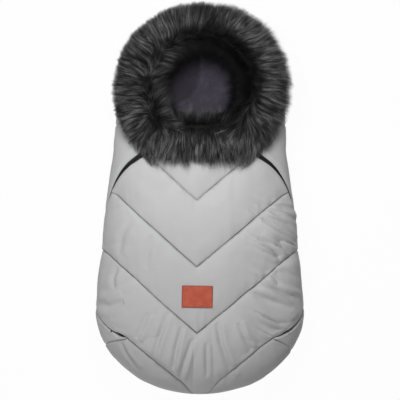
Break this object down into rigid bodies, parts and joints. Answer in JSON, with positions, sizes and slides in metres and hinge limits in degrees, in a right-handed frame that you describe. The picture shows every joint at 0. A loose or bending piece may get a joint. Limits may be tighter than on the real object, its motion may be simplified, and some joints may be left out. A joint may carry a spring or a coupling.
{
  "type": "stroller footmuff",
  "caption": "Padded sleeping-bag style footmuff for a pushchair: a quilted cover with two side zips, a fur-trimmed hood, a leather patch and slots for the harness.",
  "frame": {"origin": "middle of the footmuff's length and width, on the plane that its back rests on", "axes": "+X to the right-hand side in the picture, +Y towards the head end, +Z out of the front; it lies on its back"},
  "size_m": [0.493, 0.922, 0.1584],
  "materials": {
    "grey_cloth": "smooth woven polyester, satin matt, light grey",
    "foot_cloth": "smooth woven polyester, satin matt, mid grey",
    "wadding": "white polyester wadding",
    "dark_fleece": "dark brushed fleece with a purple cast",
    "dark_fur": "long-haired charcoal faux fur",
    "zip_black": "black woven zip tape with a nylon coil",
    "zip_metal": "dark lacquered die-cast zinc",
    "tan_leather": "terracotta grained leather",
    "elastic": "woven elastic",
    "slot_facing": "dark woven binding"
  },
  "bodies": {
    "bag": {"back_shell": "grey_cloth", "back_wadding": "wadding", "back_lining": "dark_fleece", "slot_facing_left": "slot_facing", "slot_facing_right": "slot_facing", "slot_facing_crotch": "slot_facing", "foot_shell": "foot_cloth", "foot_wadding": "wadding", "foot_lining": "dark_fleece", "toe_panel_shell": "grey_cloth", "toe_panel_wadding": "wadding", "toe_panel_lining": "dark_fleece", "zip_tape_back_left": "zip_black", "zip_tape_back_right": "zip_black", "zip_bottom_stop_left": "zip_metal", "zip_bottom_stop_right": "zip_metal", "zip_top_stop_back_left": "zip_metal", "zip_top_stop_back_right": "zip_metal", "hood_shell": "grey_cloth", "hood_wadding": "wadding", "hood_lining": "dark_fleece", "hood_elastic": "elastic", "hood_fur_trim": "dark_fur"},
    "cover": {"cover_shell": "grey_cloth", "cover_wadding": "wadding", "cover_lining": "dark_fleece", "leather_patch": "tan_leather", "cover_fur_trim": "dark_fur", "zip_tape_cover_left": "zip_black", "zip_tape_cover_right": "zip_black", "zip_top_stop_cover_left": "zip_metal", "zip_top_stop_cover_right": "zip_metal"},
    "slider_left": {"zip_slider_left": "zip_metal"},
    "slider_right": {"zip_slider_right": "zip_metal"},
    "pull_left": {"zip_pull_left": "zip_metal"},
    "pull_right": {"zip_pull_right": "zip_metal"}
  },
  "joints": [
    {"name": "cover_fold", "type": "hinge", "parent": "bag", "child": "cover", "pos_m": [0, -0.3285, 0.13085], "axis": [1, 0, 0], "range_deg": [0, 150]},
    {"name": "zip_slide_left", "type": "hinge", "parent": "cover", "child": "slider_left", "pos_m": [-0.21088, 0.24306, -0.10283], "axis": [0.5918, -0.5733, -0.5667], "range_deg": [0, 10.89]},
    {"name": "zip_slide_right", "type": "hinge", "parent": "cover", "child": "slider_right", "pos_m": [0.21088, 0.24306, -0.10283], "axis": [0.5918, 0.5733, 0.5667], "range_deg": [0, 10.89]},
    {"name": "pull_left", "type": "hinge", "parent": "slider_left", "child": "pull_left", "pos_m": [-0.13311, 0.11476, 0.11131], "axis": [0.665, -0.7234, 0.1858], "range_deg": [0, 170]},
    {"name": "pull_right", "type": "hinge", "parent": "slider_right", "child": "pull_right", "pos_m": [0.13311, 0.11476, 0.11131], "axis": [0.665, 0.7234, -0.1858], "range_deg": [0, 170]}
  ]
}
